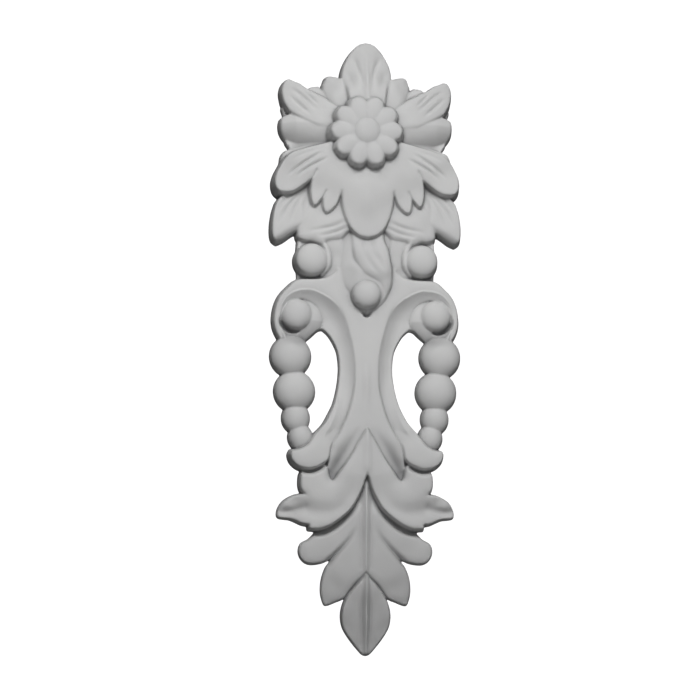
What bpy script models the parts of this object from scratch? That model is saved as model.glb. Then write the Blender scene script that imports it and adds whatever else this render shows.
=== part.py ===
"""Floral applique: a slim drop ornament cast in one piece, with a flat back.

It hangs upright on a flat surface. +Z is up, the front faces -Y and the flat back lies in the plane y = 0,
with the origin in the middle of its height, on the trunk.
The relief is worked out as a height above the back, in millimetres, and the mesh is scaled to metres.
"""

import math

import bmesh
import bpy
import numpy as np

MM = 0.001

# The block that the relief is worked out on
HALF_WIDTH = 52.0
HALF_HEIGHT = 155.0
GRID_STEP = 0.8
BEHIND_BACK = 2.5
BLOCK_DEPTH = 5.0
KEPT_FACES = 0.087

# The outlines were read off a picture taken from a little below: these two sizes put them in place
VIEW_SAG = 2.96
VIEW_TAPER = 0.0189

# How a raised shape's edge and its side wall are cut
WALL_SLOPE = 8.0
SOFT_SLOPE = 4.5
EDGE_ROUND = 1.0
CREASE_BLEND = 0.35
SPOT_SPREAD = 4.0

# The flower
FLOWER = (-1.1, 102.1)
PETALS = 10
PETAL_REACH = 17.2
PETAL_HALF_WIDTH = 4.4
PETAL_HEIGHT = 22.0
FLOWER_LEAN = 0.07
BOSS_RADIUS = 6.0
BOSS_RISE = 2.3

# The pearls, the eyes of the scrolls, and the beads: x, z, half-width, half-height, rise
SIDE_PEARL = (26.4, 42.1, 7.2)
MIDDLE_PEARL = (-0.5, 26.0, 6.4)
EYE = (33.5, 15.9, 7.6)
BEADS = ((36.2, -3.9, 10.0, 10.2, 9.5), (34.3, -20.9, 10.0, 10.2, 9.5),
         (33.7, -33.8, 6.8, 7.6, 7.5), (31.5, -43.1, 6.0, 6.6, 7.5))
BEAD_FOOT = 1.6

# Levels of the main surfaces above the back
GROUND = 4.5
SHOULDER = 9.0
SCROLL_FLOOR = 4.6
SCROLL_COVE = 3.4
COVE_REACH = 6.5
BAND_SWELL = 5.0
BAND_REACH = 5.5

PLASTER_COLOUR = (0.78, 0.78, 0.77, 1.0)
PLASTER_ROUGHNESS = 0.75


def smooth_path(points, count=None):
    """Points along a smooth curve through a few given points."""
    points = np.asarray(points, float)
    if len(points) == 2:
        return np.linspace(points[0], points[1], count or 6)
    padded = np.vstack([2 * points[0] - points[1], points, 2 * points[-1] - points[-2]])
    found = []
    for s in np.linspace(0.0, len(points) - 1.0001, count or 4 * len(points)):
        i = int(s)
        t = s - i
        a, b, c, d = padded[i : i + 4]
        found.append(0.5 * (2 * b + (c - a) * t + (2 * a - 5 * b + 4 * c - d) * t**2
                            + (3 * b - a - 3 * c + d) * t**3))
    return np.array(found)


def arc(centre, radius, start, end, count=40):
    """Points along a round arc, its angles in degrees from +X towards +Z."""
    angles = np.radians(np.linspace(start, end, count))
    return np.stack([centre[0] + radius * np.cos(angles), centre[1] + radius * np.sin(angles)], axis=1)


def outline(*runs, whole=False):
    """One closed outline from runs of points that meet in corners. A whole outline gets its mirror half as well."""
    half = np.vstack([smooth_path(run) for run in runs])
    return np.vstack([half, (half * (-1, 1))[::-1]]) if whole else half


def nearest(x, z, path):
    """For each point its distance to the path, how far along the path that is (0 to 1), and its side (+1 left)."""
    best = np.full(x.shape, np.inf)
    along = np.zeros(x.shape)
    side = np.ones(x.shape)
    steps = len(path) - 1
    for i in range(steps):
        ax, az = path[i]
        dx, dz = path[i + 1] - path[i]
        t = np.clip(((x - ax) * dx + (z - az) * dz) / (dx * dx + dz * dz + 1e-12), 0.0, 1.0)
        rx, rz = x - ax - t * dx, z - az - t * dz
        square = rx * rx + rz * rz
        closer = square < best
        best[closer] = square[closer]
        along[closer] = (i + t[closer]) / steps
        side[closer] = np.sign(dx * rz - dz * rx + 1e-12)[closer]
    return np.sqrt(best), along, side


def inside(x, z, closed):
    """True for the points inside a closed outline."""
    found = np.zeros(x.shape, bool)
    for (ax, az), (bx, bz) in zip(closed, np.roll(closed, -1, axis=0)):
        if az != bz:
            crosses = (az > z) != (bz > z)
            found ^= crosses & (x < (bx - ax) * (z - az) / (bz - az) + ax)
    return found


def along_values(t, values):
    """A value that changes smoothly along a path through evenly spaced given values."""
    curve = smooth_path(np.asarray(values, float)[:, None], 60)[:, 0]
    return np.interp(t, np.linspace(0.0, 1.0, len(curve)), curve)


def spot_surface(x, z, spots):
    """A smooth surface through a few spot heights, each (x, z, height)."""
    total = np.zeros(x.shape)
    weights = np.zeros(x.shape)
    for sx, sz, height in spots:
        weight = 1.0 / ((x - sx) ** 2 + (z - sz) ** 2 + SPOT_SPREAD**2) ** 1.5
        total += weight * height
        weights += weight
    return total / weights


def folded(x, z, folds):
    """The sum of the ridges (positive) and creases (negative) along paths: (points, rises along it, half-width)."""
    found = np.zeros(x.shape)
    for points, rises, half in folds:
        gap, along, _ = nearest(x, z, smooth_path(points, 24))
        found += along_values(along, rises) * np.exp(-((gap / half) ** 2))
    return found


class Relief:
    """The height of the front above the back, on a grid over the whole ornament."""

    def __init__(self, step):
        xs = np.arange(-HALF_WIDTH, HALF_WIDTH + step / 2, step)
        zs = np.arange(-HALF_HEIGHT, HALF_HEIGHT + step / 2, step)
        self.x, self.z = np.meshgrid(xs, zs)
        self.height = np.full(self.x.shape, -BEHIND_BACK)

    def join(self, mask, found, blend=CREASE_BLEND):
        """Joins a shape on, with a small fillet where the two surfaces cross."""
        old = self.height[mask]
        overlap = np.clip(blend - np.abs(old - found), 0.0, None)
        fillet = overlap**2 / (4 * blend) * (found > -BEHIND_BACK)
        self.height[mask] = np.maximum(old, found) + fillet

    def shape(self, closed, top, mirrored=True, blend=CREASE_BLEND, slope=WALL_SLOPE, edge=EDGE_ROUND,
              pillow=0.0, reach=4.0):
        """Adds a body with this outline and the top surface that top(x, z) gives. Its edge is rounded, pillow is
        how far it swells away from the edge over the distance reach, and its side walls have a draft."""
        x = np.abs(self.x) if mirrored else self.x
        low, high = closed.min(axis=0) - 7.0, closed.max(axis=0) + 7.0
        mask = (x > low[0]) & (x < high[0]) & (self.z > low[1]) & (self.z < high[1])
        x, z = x[mask], self.z[mask]
        gap = nearest(x, z, np.vstack([closed, closed[:1]]))[0]
        surface = top(x, z) - pillow
        rounding = 0.7 * edge * (1 - np.clip(gap / edge, 0.0, 1.0)) ** 2
        swell = pillow * (1 - (1 - np.clip(gap / reach, 0.0, 1.0)) ** 2)
        wall = surface - 0.7 * edge - slope * gap
        self.join(mask, np.where(inside(x, z, closed), surface + swell - rounding, wall), blend)

    def plate(self, closed, spots, folds=(), **options):
        """Adds a body whose top goes through spot heights and is folded along paths."""
        self.shape(closed, lambda x, z: spot_surface(x, z, spots) + folded(x, z, folds), **options)

    def leaf(self, points, width, heights, widest=0.6, root=0.7, point=0.5, crown=1.5, **options):
        """Adds a leaf along a path. heights run along its middle, and its edges lie crown below that."""
        path = smooth_path(points, 40)
        t = np.linspace(0.0, 1.0, len(path))
        swell = root + (1 - root) * np.sin(np.pi / 2 * np.clip(t / widest, 0.0, 1.0))
        close = np.clip((t - widest) / (1 - widest), 0.0, 1.0)
        spread = width * swell * np.clip(1 - close**2, 0.0, 1.0) ** point
        tangent = np.gradient(path, axis=0)
        tangent /= np.linalg.norm(tangent, axis=1)[:, None]
        normal = np.stack([-tangent[:, 1], tangent[:, 0]], axis=1) * spread[:, None]

        def top(x, z):
            gap, along, _ = nearest(x, z, path)
            across = np.clip(gap / np.maximum(np.interp(along, t, spread), 0.3), 0.0, 1.0)
            return along_values(along, heights) - crown * across**2

        self.shape(np.vstack([path + normal, (path - normal)[::-1]]), top, **options)

    def dome(self, x0, z0, radii, rise, foot, mirrored=True, blend=CREASE_BLEND, power=2.0):
        """Adds a pearl: half an ellipsoid of the given rise that stands on a foot of the given height."""
        x = (np.abs(self.x) if mirrored else self.x) - x0
        z = self.z - z0
        share = np.sqrt((x / radii[0]) ** 2 + (z / radii[1]) ** 2)
        limit = 0.965
        cap = foot + rise * np.clip(1 - np.minimum(share, limit) ** power, 0.0, 1.0) ** (1 / power)
        wall = WALL_SLOPE * min(radii) * np.clip(share - limit, 0.0, None)
        self.join(share < 2.2, (cap - wall)[share < 2.2], blend)

    def sink(self, path, half, floors):
        """Cuts a round-bottomed channel along a path, down to the floor heights given along it, on both sides."""
        for sign in (1, -1):
            gap, along, _ = nearest(sign * self.x, self.z, path)
            bottom = along_values(along, floors) + (gap / half) ** 2 * 3.0
            deep = (gap < 2 * half) & (self.height > bottom)
            self.height[deep] = bottom[deep]


def ground(relief):
    """The low ground behind the flower and the neck that carries the leaves."""
    relief.shape(arc((0.0, 98.0), 30.0, 0, 351), lambda x, z: GROUND + 0 * x, mirrored=False)
    neck = outline([(20, 80), (19, 58), (16, 40), (10, 30), (0, 30)], whole=True)
    relief.shape(neck, lambda x, z: GROUND - 0.5 + 0 * x)


def crown_leaves(relief):
    """The leaves above and beside the flower."""

    def rolled(x, z):
        """The leaf beside the flower is a roll that turns away downwards and gets thinner outwards."""
        return 13.4 - 0.11 * x - 6.4 * np.clip((111.0 - z) / 12.5, 0.0, 1.0) ** 1.8

    small = outline([(16, 118), (22.2, 125.6), (24.1, 126.1), (26.1, 125.9), (27.5, 125.1), (30, 121), (24, 112),
                     (12, 108)])
    relief.plate(small, ((14, 112, 10.5), (25, 124, 7.5)), pillow=1.2)
    back = outline([(7, 118), (11.0, 128.5), (13, 130.2), (16.4, 131.2), (18.3, 131.2), (19.6, 130.5),
                    (20.5, 128), (21, 125.6), (18, 117), (11, 107), (5, 106)])
    relief.plate(back, ((12, 122, 11.0), (20, 127, 7.4), (10, 110, 13.0)), pillow=1.6)
    upper = outline([(20, 119.5), (28.5, 123.9), (32.1, 126.5), (35.1, 127.7), (37, 128.5), (38.7, 128.2),
                     (39.7, 127), (40.5, 125.3), (40.9, 122.9), (40.6, 120.5), (39.9, 117.6), (38.4, 114.7),
                     (37, 112.7), (34.6, 111.3)], [(24, 106), (8, 104), (8, 110), (20, 119.5)])
    lines = (([(36.9, 124.4), (30.5, 119.5), (23.7, 113.3)], (0, -0.9, -0.9, 0), 0.7),
             ([(37.8, 121.0), (32, 115.5), (26, 110.4)], (0, -0.9, -0.9, 0), 0.7),
             ([(30.2, 122.6), (23.4, 115.9)], (0, -0.6, -0.6, 0), 0.7))
    relief.plate(upper, ((10, 106, 14.5), (22, 112, 13.0), (30, 117, 12.0), (39, 122, 10.4)), lines, pillow=0.7)
    behind = outline([(20, 104), (37, 103), (39.4, 106), (39.6, 112), (39.0, 117), (20, 117)])
    relief.shape(behind, lambda x, z: 4.0 + 0 * x)
    middle = outline([(8, 108), (20, 110), (32.1, 111.2), (37, 111.5), (39.7, 111), (41, 110)],
                     [(41, 110), (41.4, 107.5), (41.2, 104.5), (40.4, 102.0), (39.2, 100.0), (37.2, 98.1),
                      (30, 95.5), (8, 97)])
    relief.shape(middle, rolled, edge=1.2)
    under = outline([(10, 106), (34, 106), (37.6, 103.4), (38.8, 100.2), (37.4, 97.2), (33, 94), (10, 94)])
    relief.plate(under, ((37, 102, 5.6), (33.5, 100.5, 5.0), (28, 98.2, 4.6), (17.4, 100.5, 6.4), (35, 97, 5.8),
                         (28, 94.5, 7.2), (18, 95, 8.4)), edge=0.8)
    petal = outline([(8, 104), (8.7, 117), (9.2, 121), (9.8, 124.4), (11.3, 127.9), (12.1, 130.6), (11.6, 134.5),
                     (9.9, 138.9), (7.5, 142.8), (4.7, 145.8), (2.4, 147.2), (0, 147.7)], whole=True)
    flutes = (([(6.6, 140.5), (4.9, 136.6), (2.9, 130.6), (2.4, 121.6)], (0, -0.8, -0.8, 0), 1.1),
              ([(10, 134), (7.4, 128.6), (6.2, 120.6)], (0, -0.4, -0.4, 0), 1.4),
              ([(0, 145), (0, 106)], (0, 0.5, 0.7, 0.7), 0.9))
    relief.plate(petal, ((0, 104, 19.6), (0, 116, 17.6), (0, 126, 13.6), (0, 139, 10.2), (0, 147, 7.6),
                         (11.5, 131, 8.2), (8, 140.5, 7.6), (9, 120, 14.0)), flutes, pillow=0.8, slope=11.0)


def lower_leaves(relief):
    """The veined leaf that hangs behind the bib, and the small one above it."""
    small = outline([(22, 99), (36.7, 95.7), (39.4, 94.5), (40.8, 92.6), (41.4, 90.3), (41.4, 87.4), (36, 84),
                     (20, 88)])
    relief.plate(small, ((30, 94, 8.6), (41, 90, 7.6)), pillow=0.8)
    leaf = outline([(30, 82), (41.2, 72.2), (43.9, 67.4), (45.1, 61.5), (45.4, 56.0), (44.8, 52.0), (43.2, 50.2)],
                   [(43.2, 50.2), (40.2, 51.6), (36.6, 54.2), (33.4, 56.0), (29.8, 57.2), (27.6, 57.4),
                    (27.0, 60.8)], [(22, 63), (18, 78), (30, 82)])
    veins = [([(24, 79), ((24 + x) / 2 + 2, (79 + z) / 2 + 1.5), (x, z)], (0, -0.6, -0.6, 0), 0.9)
             for x, z in ((44.0, 64.5), (43.4, 58.0), (37.5, 58.5), (31.0, 61.0))]
    relief.plate(leaf, ((26, 74, 7.5), (40, 68, 8.6), (44, 56, 10.4), (32, 61, 9.4)), veins, pillow=0.6)


def bib(relief):
    """The seven-lobed leaf that hangs under the flower."""
    edge = outline([(0, 112), (9, 108), (15, 98.5)],
                   [(15, 98.5), (22.6, 96.5), (27.5, 95.3), (32.3, 93.8), (36.8, 92.1), (40.0, 89),
                    (41.9, 85.9), (43.5, 82.7), (44.3, 79.3), (43.8, 76.5), (42.1, 75.0), (39.2, 74.6), (36.0, 75),
                    (33.3, 76.4), (30.4, 78.4), (26.5, 81.3), (24.4, 84.3)],
                   [(24.4, 84.3), (26.6, 79.6), (27.3, 75.2), (27.1, 71.4), (26.4, 68.5), (25.4, 67.3),
                    (23.9, 68.3), (21.8, 70.9), (19.8, 74.3)],
                   [(19.8, 74.3), (21.3, 70.6), (21.3, 67), (20.3, 64.6), (18.9, 64.3), (16.9, 65.6),
                    (14.5, 68.5), (12.6, 74.0)],
                   [(12.6, 74.0), (12.3, 68.6), (11.6, 64.9), (10.4, 61.3), (8.7, 57.7), (6.7, 55), (3.8, 52.9),
                    (0, 52.0)], whole=True)
    lines = (([(38.8, 81.4), (30.0, 87.8), (21.2, 93.2)], (0, -1.0, -1.0, 0), 0.7),
             ([(34.9, 80.7), (27.0, 86.0), (18.9, 90.2)], (0, -1.0, -1.0, 0), 0.7),
             ([(37.5, 88.5), (30.0, 92.2), (20.0, 95.0)], (0, -0.3, -0.3, 0), 0.8),
             ([(0, 86), (0, 58)], (0, 0.3, 0.3, 0), 2.4))
    relief.plate(edge, ((0, 100, 15.8), (0, 75, 16.6), (0, 54, 14.6), (12, 86, 15.8), (25, 88, 15.6),
                        (40, 82, 13.8), (26, 71, 13.4), (19, 66, 13.4), (30, 92, 15.0)), lines, pillow=0.5,
                 reach=2.5)


def flower(relief):
    """Ten round petals in a ring about a low boss. The flower leans: it stands out further at its foot."""
    centre = np.array(FLOWER)

    def level(z):
        return PETAL_HEIGHT - FLOWER_LEAN * (z - FLOWER[1])

    relief.shape(arc(FLOWER, 11.5, 0, 351), lambda x, z: level(z) - 0.6, mirrored=False, edge=2.0)
    for i in range(PETALS):
        angle = 2 * math.pi * (i + 0.5) / PETALS
        out = np.array([math.sin(angle), math.cos(angle)])
        path = [centre + 3 * out, centre + 10 * out, centre + PETAL_REACH * out]
        heights = [level(point[1]) - drop for point, drop in zip(path, (1.2, 0.0, 1.0))]
        relief.leaf(path, PETAL_HALF_WIDTH, heights, crown=1.0, widest=0.66, root=0.3, point=0.4, mirrored=False,
                    edge=1.2)
    relief.dome(*FLOWER, (BOSS_RADIUS, BOSS_RADIUS), BOSS_RISE, PETAL_HEIGHT - 0.9, mirrored=False, blend=1.0)


def collars(relief):
    """The fluted rolls under the bib, with a cup and a pearl under each."""
    cup = outline([(32.2, 56), (33.2, 50), (33.6, 42), (33.2, 32)], [(33.2, 32), (24, 31), (17.5, 32)],
                  [(17.5, 32), (12, 36), (11, 46), (12, 57)])
    relief.plate(cup, ((32.5, 53, 5.4), (33, 36, 2.2), (24, 33, 3.0), (15, 50, 9.6), (14, 40, 9.2), (17, 36, 7.6)),
                 slope=14.0)
    x, z, radius = SIDE_PEARL
    relief.leaf([(21.2, 50.3), (19.3, 47.5), (18.2, 43.0), (18.8, 38.5), (22.0, 34.5)], 1.3,
                (9.8, 10.6, 10.4, 7.0), crown=0.5, root=0.9, point=0.4, edge=0.8)
    relief.dome(x, z, (radius, radius), radius, 6.2)
    edge = outline([(33.3, 58), (33.2, 53.2), (31.8, 51.8), (29.4, 51.1), (26, 50.9), (23, 49.6), (20.1, 48.4)],
                   [(20.1, 48.4), (19.4, 50.6), (17.2, 51.1), (12.4, 51.9), (10, 54.3), (8, 56.2)],
                   [(2, 62), (14, 74), (28, 68), (33.3, 58)])
    flutes = (([(8.0, 58.6), (14.8, 55.2), (24.4, 52.8)], (0, -0.7, -0.7, 0), 0.9),
              ([(9.9, 61.0), (17.2, 57.8), (28.8, 55.6)], (0, -0.7, -0.7, 0), 0.9))
    relief.plate(edge, ((12, 60, 11.5), (20, 54, 11.2), (31, 55, 9.6), (20, 68, 8.5)), flutes, pillow=1.6,
                 reach=3.5)


def twisted_leaf(relief):
    """The folded leaf in the middle, which curls over a pearl."""
    base = outline([(-8, 58), (-10.7, 52.2), (-12.2, 48.8), (-13.1, 44.4), (-13.4, 39.6), (-13.1, 34.2),
                    (-11.4, 30.3), (-9.3, 27.4), (-6.8, 24.3), (-6.1, 21.6), (-4.9, 19.2), (-2.5, 16.7),
                    (-0.3, 15.3)], [(-0.3, 15.3), (2.4, 17.2), (5.8, 19.6), (8.7, 22.6), (10.7, 26), (12.0, 30),
                                    (12.2, 34.2), (11.9, 38.6), (11.1, 42.5), (10.2, 47.3), (8.7, 51), (8, 58)])
    relief.plate(base, ((-8, 56, 12.8), (-6, 43, 14.0), (-3.5, 37, 13.6), (0, 30, 12.4), (0, 20, 12.4),
                        (8, 24, 12.8), (-7, 25, 12.6), (0, 54, 13.0)), mirrored=False, edge=0.7, pillow=4.2, reach=6.5)
    lobe = outline([(-7.6, 58), (-7.5, 52.8), (-7, 47), (-6.1, 42.1), (-3.9, 37.8), (-2.2, 35.5), (0.2, 33.9),
                    (3.1, 32.4), (5.6, 30), (7.2, 27.1), (7.5, 24.2), (7.4, 22.0)],
                   [(7.4, 22.0), (8.9, 23.4), (10.4, 26.5), (11.7, 30), (11.9, 34.2), (11.6, 38.6),
                    (10.8, 42.5), (9.9, 47.3), (8.4, 51), (7.6, 58)])
    soft = (([(-2.5, 54), (-1.5, 46), (2.5, 38), (7.0, 33.5)], (0, -0.5, -0.5, 0), 1.2),
            ([(2.0, 54), (3.2, 46), (6.2, 40.5), (9.2, 35)], (0, -0.6, -0.6, 0), 1.2))
    relief.plate(lobe, ((0, 54, 13.8), (0, 42, 16.0), (7, 38, 15.4), (9.5, 30, 13.2), (8, 24, 11.4)), soft,
                 mirrored=False, pillow=1.4, reach=4.0)
    x, z, radius = MIDDLE_PEARL
    relief.dome(x, z, (radius, radius), radius + 0.4, 9.6, mirrored=False)


PLATE_TOP = [(0, 40), (13.7, 38.9), (14.6, 36.9), (16.5, 35.0), (19.5, 33.5), (24.3, 32.8), (31.6, 32.6),
             (35.0, 31.3), (37.9, 28.6), (40.3, 26.2), (42.3, 23.1), (43.7, 19.2), (44.4, 14.4), (44.2, 10.5),
             (43.2, 7.1), (41.3, 3.7)]
RIM_INNER = [(39.3, 4.4), (40.2, 8.1), (41.5, 12.5), (41.6, 16.9), (40.6, 20.6), (38.3, 23.9), (35.4, 26.1),
             (31.5, 27.4)]
TRUNK_SIDE = [(31.5, 27.4), (26.7, 27.5), (21.8, 25.7), (16.9, 22.7), (13, 18.8), (10.6, 13.5), (8.7, 7.2),
              (7.2, 1.3), (6.2, -5), (5.8, -11.3), (6, -18.1), (7.2, -25.4), (9.6, -33.7), (13, -41),
              (16.5, -47.3), (17.9, -53.2), (18.8, -59.5), (18.6, -63.5)]


def shoulders_and_trunk(relief):
    """The smooth plate over both scrolls with their rims, the trunk below it, and the tongues at its foot."""
    edge = outline(PLATE_TOP, RIM_INNER, TRUNK_SIDE, [(17.4, -65.2), (11.0, -57.5), (4.5, -47.0), (0, -42)],
                   whole=True)
    folds = (([(0, -6), (0, -34)], (0, 0.7, 0.5, 0), 1.4),
             ([(3.0, -38), (7.5, -46), (12.5, -54), (16.5, -60)], (0, -1.2, -1.4, -1.0), 2.2))
    relief.plate(edge, ((0, 30, SHOULDER), (20, 30, SHOULDER), (34, 29, 8.8), (44, 15, 8.2), (41, 5, 7.2),
                        (0, 0, SHOULDER), (0, -20, SHOULDER), (5, -35, 9.4), (12, -45, 9.8), (16, -52, 9.4),
                        (18, -62, 8.4), (8, -48, 9.6)), folds, pillow=0.3, reach=3.0, edge=0.8, slope=6.0)


def side_scroll(relief):
    """The C-scroll: a hollow band that starts round an eye, runs beside the trunk and ends in a curl."""
    cove_edge = np.vstack([smooth_path(RIM_INNER), smooth_path(TRUNK_SIDE)])
    floor_edge = outline([(34, 29), (42, 22), (43, 12), (41, 4.5), (36, 2.5), (31.5, 2.2), (28.2, 3.9),
                          (25.6, 6.4), (23.2, 8.6), (20.0, 8.9)],
                         [(20.0, 8.9), (17.9, 6.2), (15.3, 1.9), (13.6, -2.6), (12.9, -10.3), (13.9, -19.6),
                          (16.1, -28.2), (19.6, -35.6), (24.4, -41.5)],
                         [(24.4, -41.5), (18, -50), (8, -40), (3, -30), (3, 10), (14, 26), (34, 29)])
    lip = (([(31.5, 23.6), (28.5, 22.2), (25.6, 19.5), (22.9, 14.8), (21.3, 9.6)], (0, 1.6, 2.2, 2.2, 1.8), 1.7),
           ([(32, 8.0), (27.0, 10.0), (23.6, 13.6)], (0, 1.4, 1.2, 0), 3.2))

    def hollow(x, z):
        gap = nearest(x, z, cove_edge)[0]
        rise = SCROLL_COVE * (1 - np.clip(gap / COVE_REACH, 0.0, 1.0)) ** 2
        swell = np.clip((-10 - z) / 30, 0.0, 1.0)
        outwards = np.clip(gap / BAND_REACH, 0.0, 1.0)
        return SCROLL_FLOOR + rise * (1 - 0.6 * swell) + BAND_SWELL * swell**1.4 * outwards + folded(x, z, lip)

    relief.shape(floor_edge, hollow, edge=0.9, slope=14.0)
    curl = outline([(9.4, -29), (13.4, -41), (17.0, -47.5), (18.3, -53.5)],
                   [(18.3, -53.5), (19.7, -54.8), (23.1, -56.9), (27.5, -58.2), (32.3, -57.4), (35.4, -54.8),
                    (36.4, -51.8), (35.9, -50.0)],
                   [(35.9, -50.0), (32.2, -49.4), (28.4, -47.2), (26.2, -44.2), (24.4, -41.5), (22.2, -39.2),
                    (19.6, -35.6), (16.1, -28.2)])
    relief.plate(curl, ((12, -28, 3.4), (15, -30, 5.6), (14, -38, 6.6), (18.5, -36, 8.4), (16, -43, 8.0),
                        (22, -42, 10.2), (20, -50, 10.4), (25, -49, 11.6), (30, -54, 12.2),
                        (36, -51, 12.0), (27, -50, 12.2)), pillow=1.0, reach=4.0, slope=SOFT_SLOPE, edge=1.2)
    x, z, radius = EYE
    relief.sink(arc((x, z), radius + 0.4, 232, 366, 24), 1.4, (7.5, 4.0, 2.4, 3.4, 7.5))
    relief.dome(x, z, (radius, radius), 6.4, 4.4, power=2.3)


def bead_strings(relief):
    """Four graded beads that hang from each volute to the curl."""
    for x, z, half_width, half_height, rise in BEADS:
        relief.dome(x, z, (half_width, half_height), rise, BEAD_FOOT, blend=0.3)


def chevron(relief):
    """The winged leaf that spreads under the trunk."""
    wing = outline([(0, -39.0), (3.3, -44.2), (8.1, -52.8), (13, -60), (17.0, -64.2), (20.0, -56.0),
                    (25.0, -54.5), (30.0, -56.5), (31.6, -61), (32.0, -66.0), (31.4, -69.0), (29.8, -71.0)],
                   [(29.8, -71.0), (34.6, -71.6), (39.6, -74.2), (42.2, -77.6), (42.9, -80.2), (42.3, -82.1),
                    (39.8, -82.6), (37.0, -82.8), (34.2, -83.8), (31.0, -85.2), (27.8, -85.6)],
                   [(27.8, -85.6), (27.6, -87.8)],
                   [(27.6, -87.8), (22.7, -87.9), (17.8, -86.1), (13, -82.9), (8.1, -78.5), (4.7, -73.2),
                    (2.3, -68.1), (0, -61.0)], whole=True)
    folds = (([(31.0, -71.4), (22.6, -75.0), (12.9, -74.0), (7, -68.2), (3.6, -59.8)],
              (-1.2, -2.6, -2.4, -1.4, 0), 3.4),
             ([(41, -78.8), (35, -78.6), (26, -78.6)], (-0.6, -1.8, 0), 2.0),
             ([(0, -39), (0, -62)], (0.8, 0.8, 0.8), 1.6))
    relief.plate(wing, ((0, -45, 12.4), (0, -58, 12.6), (8, -60, 12.2), (20, -86, 11.2), (9, -76, 12.0),
                        (14, -80, 12.0), (24, -66, 10.4), (31, -66, 10.2), (19, -63, 9.8), (36, -77, 7.2),
                        (42, -80, 4.6), (31, -83, 7.6), (26.5, -87, 10.4), (16, -70, 11.4)), folds, pillow=0.8,
                 slope=9.0)


def tail_leaf(relief):
    """The lobed leaf at the foot and its tip leaf, with their midrib."""
    lobes = outline([(0, -60), (14, -72), (22, -84), (26.8, -91.9), (31, -94.5), (32.4, -97.7), (31.9, -100.9),
                     (30.2, -103.3), (28, -104.5), (25.6, -104.7), (22.2, -104.2), (17.4, -102.8)],
                    [(17.4, -102.8), (18.8, -105.5), (20.5, -109.4), (21.6, -113.8), (21.8, -118.7),
                     (21, -122.6), (20.2, -124.5), (19.2, -124.9), (17.3, -124.4), (14.4, -123.1),
                     (11.9, -122.1), (10.2, -120.9)], [(10.2, -120.9), (6, -115), (0, -109)], whole=True)
    folds = (([(18.4, -104.0), (14.8, -100.2), (11.4, -96.7), (7.5, -91.9), (4.6, -86.5)],
              (-3.4, -2.8, -2.0, -1.0, 0), 1.3),
             ([(0, -62), (0, -108)], (1.2, 1.3, 1.0), 0.9), ([(2.6, -66), (2.6, -106)], (-0.5, -0.8, -0.3), 1.2))
    relief.plate(lobes, ((0, -80, 6.4), (0, -100, 5.4), (26, -98, 5.2), (31, -99, 4.6), (18, -118, 4.6),
                         (20, -124, 3.8), (10, -108, 5.8), (12, -92, 5.8)), folds, pillow=1.0)
    tip = outline([(0, -109.6), (2.6, -112.4), (6.1, -116.5), (9.2, -120.9), (11.0, -125.1), (11.8, -129.9),
                   (11.3, -134.6), (9.7, -138.2), (6.8, -142.5), (3.8, -146.4), (1.7, -148.6), (0, -149.2)],
                  whole=True)
    folds = (([(0, -110), (0, -147.5)], (1.4, 1.8, 1.8, 1.4), 0.9),
             ([(2.3, -114), (2.3, -143)], (0, -0.8, -1.0, -0.4), 1.2))
    relief.plate(tip, ((0, -115, 6.0), (10, -128, 6.0), (4, -130, 4.6), (0, -147, 4.4), (9, -138, 5.0)), folds)


def whole_relief(step):
    """Every motif, from the ground up."""
    relief = Relief(step)
    for motif in (ground, crown_leaves, lower_leaves, shoulders_and_trunk, side_scroll, collars, twisted_leaf,
                  bib, flower, bead_strings, tail_leaf, chevron):
        motif(relief)
    return relief


def relief_block(relief):
    """A closed mesh with the relief as its front face and a plain block behind it."""
    rows, columns = relief.x.shape
    x = relief.x * (1 + VIEW_TAPER * relief.z / 150)
    z = relief.z - VIEW_SAG * (1 - (relief.z / 150) ** 2)
    front = np.stack([x, -relief.height, z], axis=-1).reshape(-1, 3) * MM
    index = np.arange(rows * columns).reshape(rows, columns)
    quads = np.stack([index[:-1, :-1], index[:-1, 1:], index[1:, 1:], index[1:, :-1]], axis=-1).reshape(-1, 4)
    mesh = bpy.data.meshes.new("floral_applique")
    mesh.from_pydata(front.tolist(), [], quads.tolist())
    work = bmesh.new()
    work.from_mesh(mesh)
    border = [edge for edge in work.edges if edge.is_boundary]
    made = bmesh.ops.extrude_edge_only(work, edges=border)
    for corner in made["geom"]:
        if isinstance(corner, bmesh.types.BMVert):
            corner.co.y = BLOCK_DEPTH * MM
    bmesh.ops.holes_fill(work, edges=[edge for edge in work.edges if edge.is_boundary], sides=0)
    bmesh.ops.triangulate(work, faces=work.faces[:])
    bmesh.ops.recalc_face_normals(work, faces=work.faces[:])
    work.to_mesh(mesh)
    work.free()
    return mesh


def plaster():
    """Matt off-white paint over the cast."""
    material = bpy.data.materials.new("painted_plaster")
    material.use_nodes = True
    shader = material.node_tree.nodes["Principled BSDF"]
    shader.inputs["Base Color"].default_value = PLASTER_COLOUR
    shader.inputs["Roughness"].default_value = PLASTER_ROUGHNESS
    shader.inputs["Metallic"].default_value = 0.0
    return material


def collection(name):
    made = bpy.data.collections.new(name)
    bpy.context.scene.collection.children.link(made)
    return made


def back_cutter(cutters):
    """A box whose front face is the plane of the flat back."""
    bpy.ops.mesh.primitive_cube_add(size=1.0)
    cutter = bpy.context.active_object
    cutter.name = "back_cutter"
    depth = 4 * BLOCK_DEPTH * MM
    cutter.scale = (3 * HALF_WIDTH * MM, depth, 3 * HALF_HEIGHT * MM)
    cutter.location = (0.0, depth / 2, 0.0)
    for holder in cutter.users_collection:
        holder.objects.unlink(cutter)
    cutters.objects.link(cutter)
    cutter.hide_render = True
    cutter.display_type = "WIRE"
    return cutter


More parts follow.
